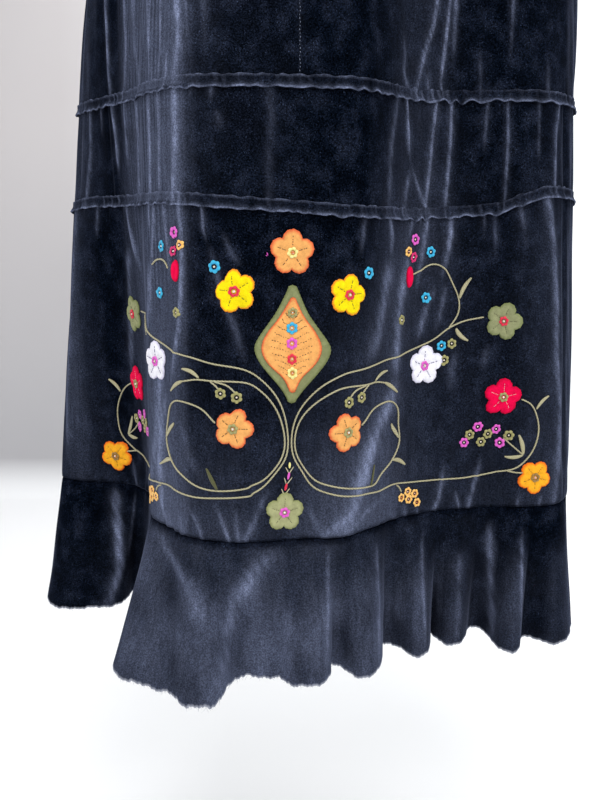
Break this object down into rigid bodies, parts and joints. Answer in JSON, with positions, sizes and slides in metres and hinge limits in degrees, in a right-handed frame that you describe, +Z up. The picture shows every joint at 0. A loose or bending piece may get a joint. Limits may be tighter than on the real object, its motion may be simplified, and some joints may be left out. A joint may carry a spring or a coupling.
{
  "type": "maxi skirt",
  "caption": "Long tiered velvet skirt with an elasticated waist, raised gathered seams, felt flowers and corded stems on the lower tier, and a fluted flounce with a raw hem.",
  "frame": {"origin": "middle of the waist opening, at the waistband's top edge, where the wearer holds it up", "axes": "+Z up through the waist opening, the front faces -Y, +X to the right as the front is looked at"},
  "size_m": [0.5717, 0.4311, 0.9505],
  "materials": {
    "velvet": "cotton velvet pile",
    "felt_orange": "wool felt",
    "felt_olive": "wool felt",
    "felt_yellow": "wool felt",
    "felt_white": "wool felt",
    "felt_red": "wool felt",
    "felt_golden": "wool felt"
  },
  "bodies": {
    "root": {"waistband": "velvet", "upper_front_left": "velvet", "upper_front_right": "velvet", "upper_back": "velvet", "middle_front": "velvet", "middle_back": "velvet", "flowered_front": "velvet", "flowered_back": "velvet", "flounce_front": "velvet", "flounce_back": "velvet", "raised_seam_upper": "velvet", "raised_seam_lower": "velvet", "bud_left": "felt_red", "bud_right": "felt_red", "drop_inner": "felt_orange", "drop_outer": "felt_olive", "flower_base": "felt_olive", "flower_golden_left": "felt_golden", "flower_golden_right": "felt_golden", "flower_olive_left": "felt_olive", "flower_olive_right": "felt_olive", "flower_orange_left": "felt_orange", "flower_orange_right": "felt_orange", "flower_red_left": "felt_red", "flower_red_right": "felt_red", "flower_top": "felt_orange", "flower_white_left": "felt_white", "flower_white_right": "felt_white", "flower_yellow_left": "felt_yellow", "flower_yellow_right": "felt_yellow"}
  },
  "joints": []
}
